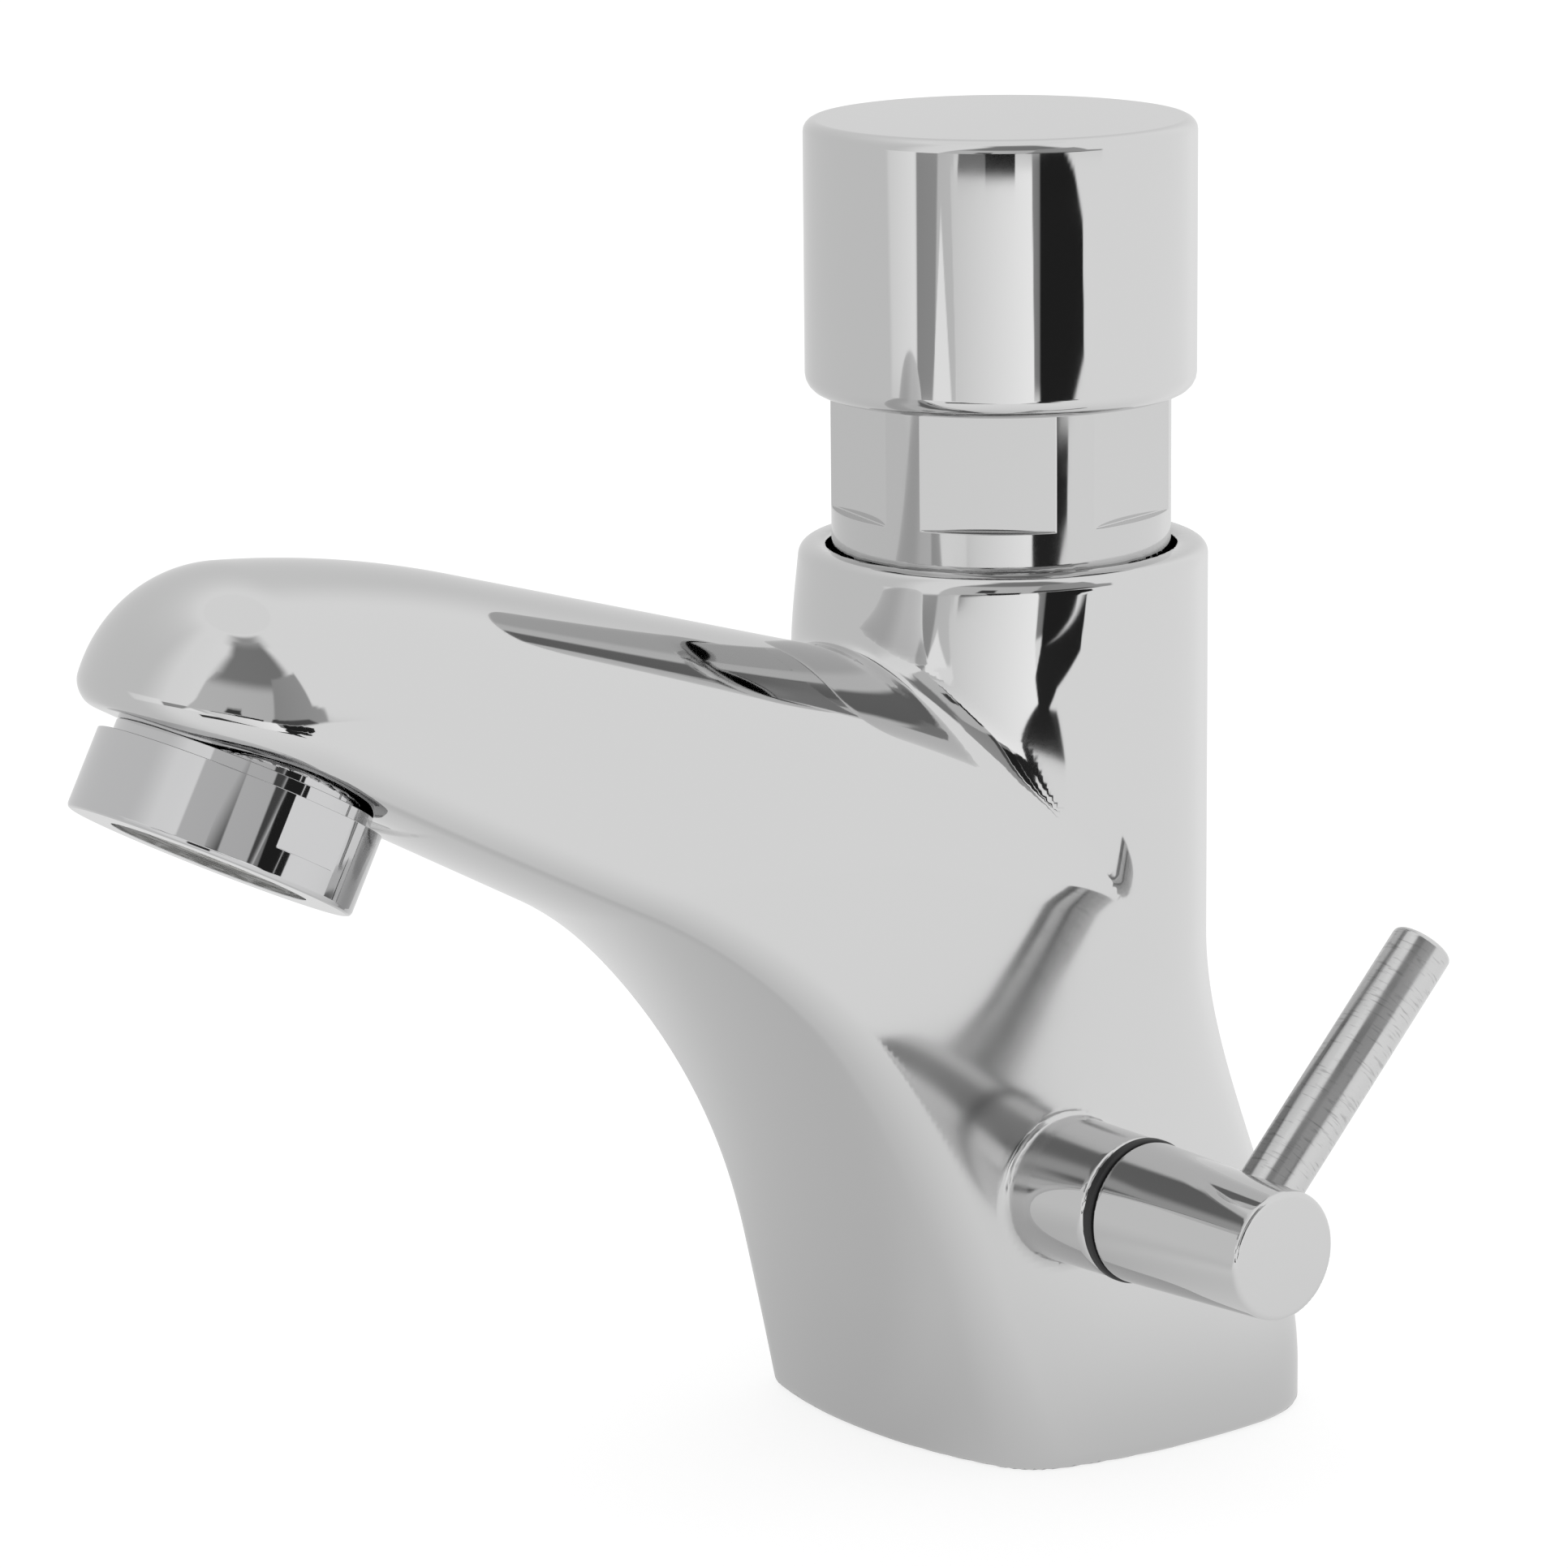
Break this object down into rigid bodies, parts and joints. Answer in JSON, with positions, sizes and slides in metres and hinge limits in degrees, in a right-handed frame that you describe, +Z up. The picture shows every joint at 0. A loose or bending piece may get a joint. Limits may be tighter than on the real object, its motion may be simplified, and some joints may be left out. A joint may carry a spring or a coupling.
{
  "type": "push timed tap",
  "caption": "Deck-mounted basin tap that a push cap opens and a timing cartridge closes, with a side lever for the temperature and an aerated spout.",
  "frame": {"origin": "mouth of the fixing stud's hole, on the push cap's axis, in the plane of the basin's top", "axes": "+Z up along the push cap's axis; -Y along the spout; +X towards the temperature lever"},
  "size_m": [0.0784, 0.1382, 0.1355],
  "materials": {
    "body_chrome": "polished chrome plate",
    "bonnet_chrome": "chrome plated brass",
    "bush_plastic": "moulded acetal",
    "cap_chrome": "polished chrome plate",
    "gasket_rubber": "soft black rubber",
    "housing_chrome": "polished chrome plate",
    "jet_plastic": "moulded acetal",
    "knob_chrome": "polished chrome plate",
    "nut_brass": "turned brass",
    "piston_plastic": "moulded acetal",
    "plug_brass": "turned brass",
    "ring_rubber": "black rubber",
    "rod_chrome": "chrome plated rod with fine drawn lines",
    "screen_steel": "stainless wire cloth",
    "seal_rubber": "nitrile rubber",
    "sleeve_plastic": "moulded acetal",
    "spindle_steel": "turned stainless steel",
    "spring_steel": "stainless spring wire",
    "strainer_steel": "stainless steel"
  },
  "bodies": {
    "body": {"tap_body": "body_chrome", "base_gasket": "gasket_rubber", "inlet_strainers": "strainer_steel", "cartridge_sleeve": "sleeve_plastic", "bonnet": "bonnet_chrome", "bonnet_seal": "seal_rubber", "guide_bush": "bush_plastic", "stem_seal": "seal_rubber", "return_spring": "spring_steel", "aerator_housing": "housing_chrome", "jet_former": "jet_plastic", "aerator_screen": "screen_steel", "aerator_washer": "gasket_rubber", "gland_nut": "nut_brass", "knob_ring": "ring_rubber"},
    "push": {"push_cap": "cap_chrome", "push_spindle": "spindle_steel", "timing_piston": "piston_plastic", "piston_seal": "seal_rubber", "closing_washer": "seal_rubber", "cap_lock_nut": "nut_brass"},
    "temperature": {"temperature_knob": "knob_chrome", "lever_rod": "rod_chrome", "mixing_spindle": "plug_brass", "plug_seals": "seal_rubber"}
  },
  "joints": [
    {"name": "push_slide", "type": "slide", "parent": "body", "child": "push", "axis": [0, 0, -1], "range_m": [0, 0.008], "stiffness_N_per_m": 1500, "springref_m": -0.01, "deforming": ["return_spring"]},
    {"name": "temperature_turn", "type": "hinge", "parent": "body", "child": "temperature", "pos_m": [0.0463, -0.01, 0.0296], "axis": [1, 0, 0], "range_deg": [0, 90]}
  ]
}
